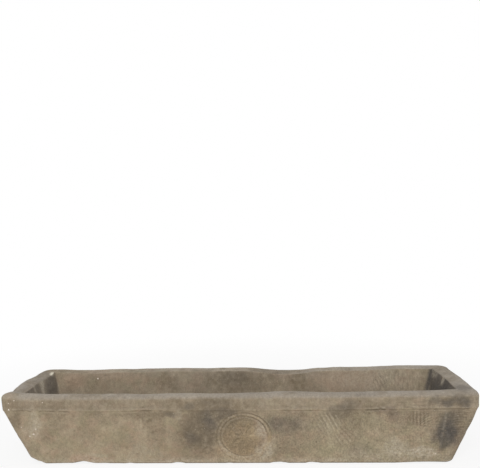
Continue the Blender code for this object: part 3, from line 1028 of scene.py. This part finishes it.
class Bench:
    """A node tree, and short ways to add nodes to it."""

    def __init__(self, tree):
        self.tree = tree
        self.shader = tree.nodes.get("Principled BSDF")
        self.place = self.add("TexCoord").outputs["Object"]
        self.shifts = 0

    def wire(self, value, socket):
        if isinstance(value, bpy.types.NodeSocket):
            self.tree.links.new(value, socket)
        else:
            socket.default_value = value

    def dress(self, name, value):
        self.wire(value, self.shader.inputs[name])

    def add(self, kind, inputs=None, **settings):
        node = self.tree.nodes.new("ShaderNode" + kind)
        for name, value in settings.items():
            setattr(node, name, value)
        for key, value in (inputs or {}).items():
            self.wire(value, node.inputs[key])
        return node

    def maths(self, operation, *inputs):
        return self.add("Math", dict(enumerate(inputs)), operation=operation).outputs[0]

    def times(self, first, second):
        return self.maths("MULTIPLY", first, second)

    def share(self, value, low, high, least=0.0, most=1.0):
        """From the least where the value is low to the most where it is high."""
        inputs = {"Value": value, 1: low, 2: high, 3: least, 4: most}
        return self.add("MapRange", inputs, interpolation_type="SMOOTHSTEP").outputs["Result"]

    def mix(self, factor, first, second):
        return self.add("Mix", {0: factor, 6: first, 7: second}, data_type="RGBA").outputs[2]

    def scale(self, tint, factor):
        return self.add("VectorMath", {0: tint, "Scale": factor}, operation="SCALE").outputs[0]

    def length(self, vector):
        return self.add("VectorMath", {0: vector}, operation="LENGTH").outputs["Value"]

    def painted(self, name):
        return self.add("Attribute", attribute_name=name).outputs["Fac"]

    def cells(self, size, stretch=(1, 1, 1)):
        """Coordinates in lumps of the size and stretch, shifted each time."""
        self.shifts += 1
        shift = [self.shifts * s for s in (17.3, 9.1, 5.7)]
        factors = [1 / (size * s) for s in stretch]
        inputs = {0: self.place, 1: factors, 2: shift}
        return self.add("VectorMath", inputs, operation="MULTIPLY_ADD").outputs[0]

    def noise(self, size, detail=2.0, stretch=(1, 1, 1)):
        inputs = {"Vector": self.cells(size, stretch), "Scale": 1.0, "Detail": detail}
        return self.add("TexNoise", inputs).outputs[0]

    def spots(self, size, radius, chance):
        """1 inside round spots: one to a cell of the size, in a share of the cells."""
        spot = self.add("TexVoronoi", {"Vector": self.cells(size), "Scale": 1.0})
        near = self.share(spot.outputs["Distance"], radius / size, 0.6 * radius / size)
        kept = self.maths("LESS_THAN", spot.outputs["Color"], chance)
        return self.times(near, kept)


def stone_tint(bench):
    """The stone's two own colours, the tints that lie over them, and painted sky light on faces
    turned up.
    """
    facing_up = bench.add("SeparateXYZ", {0: bench.add("NewGeometry").outputs["Normal"]}).outputs["Z"]
    tint = bench.mix(bench.share(bench.noise(0.06, 3), 0.36, 0.64), BUFF, DRAB)
    # Painted sky light: faces turned up are mixed towards a cool grey
    painted_sky_light = bench.share(facing_up, -0.4, 0.85, 0, 0.9)
    layers = (
        (bench.share(bench.noise(0.02, 3), 0.44, 0.66, 0, 0.37), ROSY),
        (bench.share(bench.noise(0.028, 3), 0.44, 0.66, 0, 0.33), OLIVE),
        (bench.times(bench.painted("rosy"), 0.75), ROSY),
        (bench.times(bench.painted("ochre"), 0.75), OCHRE),
        (bench.times(bench.painted("olive"), 0.75), OLIVE_TINT),
        (bench.times(painted_sky_light, bench.painted("painted_sky_light")), SKY_LIGHT_GREY),
    )
    for factor, layer in layers:
        tint = bench.mix(factor, tint, layer)
    return tint


# Painted layers that noise breaks up: name, size, start, end, least share and colour
BROKEN_LAYERS = (
    ("damp_and_shade", 0.01, 0.25, 0.6, 0.5, DAMP_AND_SHADE),
    ("soot_and_shade", 0.007, 0.05, 0.48, 0.2, SOOT_AND_SHADE),
    ("pale", 0.005, 0.3, 0.6, 0.15, PALE),
    ("painted_shade", 0.004, 0.1, 0.55, 0.1, SHADE_TONE),
    ("wear_and_highlight", 0.004, 0.2, 0.65, 0.1, WORN_AND_LIT),
)
# Grain all over, and grain where a share is painted: size, stretch, start and swing
GRAINS = (
    (0.0045, (1, 1, 7), 0.3, 0.04),
    (0.0065, (1, 1, 1), 0.28, 0.05),
    (0.0024, (1, 1, 1), 0.25, 0.1),
)
PAINTED_GRAINS = (
    ("rough", 0.003, (1, 1, 1.6), 0.28, 0.15),
    ("scraped", 0.0042, (1, 1, 8), 0.3, 0.15),
    ("combed", 0.0028, (7, 1, 1), 0.3, 0.09),
)
PORES = (0.0065, 0.001, 0.3)
GRIT = (0.009, 0.001, 0.3)


def stone_colour(bench):
    tint = stone_tint(bench)
    for name, size, low, high, least, layer in BROKEN_LAYERS:
        broken = bench.share(bench.noise(size, 3), low, high, least)
        tint = bench.mix(bench.times(bench.painted(name), broken), tint, layer)
    for size, stretch, low, swing in GRAINS:
        noise = bench.noise(size, 2, stretch)
        tint = bench.scale(tint, bench.share(noise, low, 1 - low, 1 - swing, 1 + swing))
    for name, size, stretch, low, swing in PAINTED_GRAINS:
        factor = bench.share(bench.noise(size, 2, stretch), low, 1 - low, -swing, swing)
        factor = bench.times(factor, bench.painted(name))
        tint = bench.scale(tint, bench.maths("ADD", factor, 1.0))
    tint = bench.mix(bench.times(bench.spots(*PORES), 0.25), tint, PORE)
    tint = bench.mix(bench.times(bench.spots(*GRIT), 0.5), tint, PALE)
    return bench.mix(bench.painted("lime"), tint, LIME)


def stone_bump(bench):
    """Grain of the stone, as heights in metres."""
    layers = (
        (bench.noise(0.006, 3), 0.0006),
        (bench.noise(0.0022, 3), 0.0003),
        (bench.noise(0.003, 2, (1, 1, 8)), 0.0002),
        (bench.spots(*PORES), -0.0003),
    )
    height = 0.0
    for layer, depth in layers:
        height = bench.maths("MULTIPLY_ADD", layer, depth, height)
    return bench.add("Bump", {"Strength": 1.0, "Distance": 1.0, "Height": height}).outputs["Normal"]


def new_material(name):
    material = bpy.data.materials.new(name)
    material.use_nodes = True
    return material, Bench(material.node_tree)


def make_stone():
    material, bench = new_material("weathered_stone")
    bench.dress("Base Color", stone_colour(bench))
    bench.dress("Roughness", bench.share(bench.noise(0.008, 2), 0.3, 0.7, 0.82, 0.97))
    bench.dress("Normal", stone_bump(bench))
    bench.dress("Specular IOR Level", 0.3)
    return material


def make_lime():
    material, bench = new_material("lime")
    tint = bench.mix(bench.noise(0.0012, 2), colour(226, 214, 202), colour(198, 184, 168))
    bench.dress("Base Color", tint)
    bench.dress("Roughness", bench.share(bench.noise(0.001, 2), 0.3, 0.7, 0.75, 0.9))
    return material


# Camera, fitted to the outline in the photo
PHOTO_WIDTH = 480
FOCAL_PIXELS = 600
CAMERA_PLACE = (0.0832, -1.362, 0.495)
CAMERA_YAW = 0.0532
CAMERA_PITCH = -0.005
CAMERA_ROLL = 0.0229


def make_camera():
    data = bpy.data.cameras.new("camera")
    data.lens = FOCAL_PIXELS / PHOTO_WIDTH * data.sensor_width
    camera = new_object("camera", data)
    turn = Matrix.Rotation(CAMERA_YAW, 4, "Z") @ Matrix.Rotation(CAMERA_PITCH, 4, "X")
    turn = turn @ Matrix.Rotation(CAMERA_ROLL, 4, "Y") @ Matrix.Rotation(math.pi / 2, 4, "X")
    camera.matrix_world = Matrix.Translation(CAMERA_PLACE) @ turn
    bpy.context.scene.camera = camera


def seen_directly(bench):
    """1 for rays from the camera, and for those that gloss or glass sends on."""
    path = bench.add("LightPath").outputs
    sent_on = bench.maths("MAXIMUM", path["Is Glossy Ray"], path["Is Transmission Ray"])
    return bench.maths("MAXIMUM", path["Is Camera Ray"], sent_on)


WORLD_LIGHT = 0.6
KEY_PLACE = (-0.2, -2.7, 1.75)
KEY_TARGET = (0, 0, 0.1)
KEY_SIZE = 1.6
KEY_POWER = 49


def make_world():
    world = bpy.data.worlds.new("studio")
    bpy.context.scene.world = world
    world.use_nodes = True
    bench = Bench(world.node_tree)
    background = bench.tree.nodes["Background"]
    background.inputs["Color"].default_value = (1, 1, 1, 1)
    strength = bench.share(seen_directly(bench), 0.0, 1.0, WORLD_LIGHT, 1.0)
    bench.wire(strength, background.inputs["Strength"])


def make_key_light():
    data = bpy.data.lights.new("key", "AREA")
    data.shape = "DISK"
    data.size = KEY_SIZE
    data.energy = KEY_POWER
    light = new_object("key", data)
    light.location = KEY_PLACE
    aim = Vector(KEY_TARGET) - Vector(KEY_PLACE)
    light.rotation_euler = aim.to_track_quat("-Z", "Y").to_euler()


# The floor looks white from a distance and keeps the vessel's shadow close to it
FLOOR_SIZE = 40
FLOOR_COLOUR = (0.9, 0.9, 0.9, 1)
WHITE_NEAR = 0.85
WHITE_FROM = 0.55
WHITE_BEYOND = 1.6
# Half lengths of the floor that the vessel hides and keeps dark
UNDER_VESSEL = (0.42, 0.065, 1.0)


def make_floor():
    bpy.ops.mesh.primitive_plane_add(size=FLOOR_SIZE)
    floor = bpy.context.object
    floor.name = "floor"
    material, bench = new_material("pale_floor")
    bench.dress("Base Color", FLOOR_COLOUR)
    bench.dress("Roughness", 1.0)
    bench.dress("Specular IOR Level", 0.0)
    white = bench.share(bench.length(bench.place), WHITE_FROM, WHITE_BEYOND, WHITE_NEAR, 1.0)
    oval = bench.add("VectorMath", {0: bench.place, 1: UNDER_VESSEL}, operation="DIVIDE").outputs[0]
    white = bench.times(white, bench.share(bench.length(oval), 0.8, 1.0))
    white = bench.times(white, seen_directly(bench))
    glow = bench.add("Emission", {"Color": (1, 1, 1, 1), "Strength": 1.0}).outputs[0]
    surface = bench.add("MixShader", {0: white, 1: bench.shader.outputs[0], 2: glow}).outputs[0]
    bench.wire(surface, bench.tree.nodes["Material Output"].inputs["Surface"])
    floor.data.materials.append(material)


vessel, vessel_points, vessel_normals, vessel_inside = build_vessel()
vessel.data.materials.append(make_stone())
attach(vessel, "root")
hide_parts("trough_body")

specks = build_specks(vessel_points, vessel_normals, vessel_inside)
specks.data.materials.append(make_lime())
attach(specks, "root")

bpy.context.scene.view_settings.view_transform = "Standard"
make_camera()
make_world()
make_key_light()
make_floor()
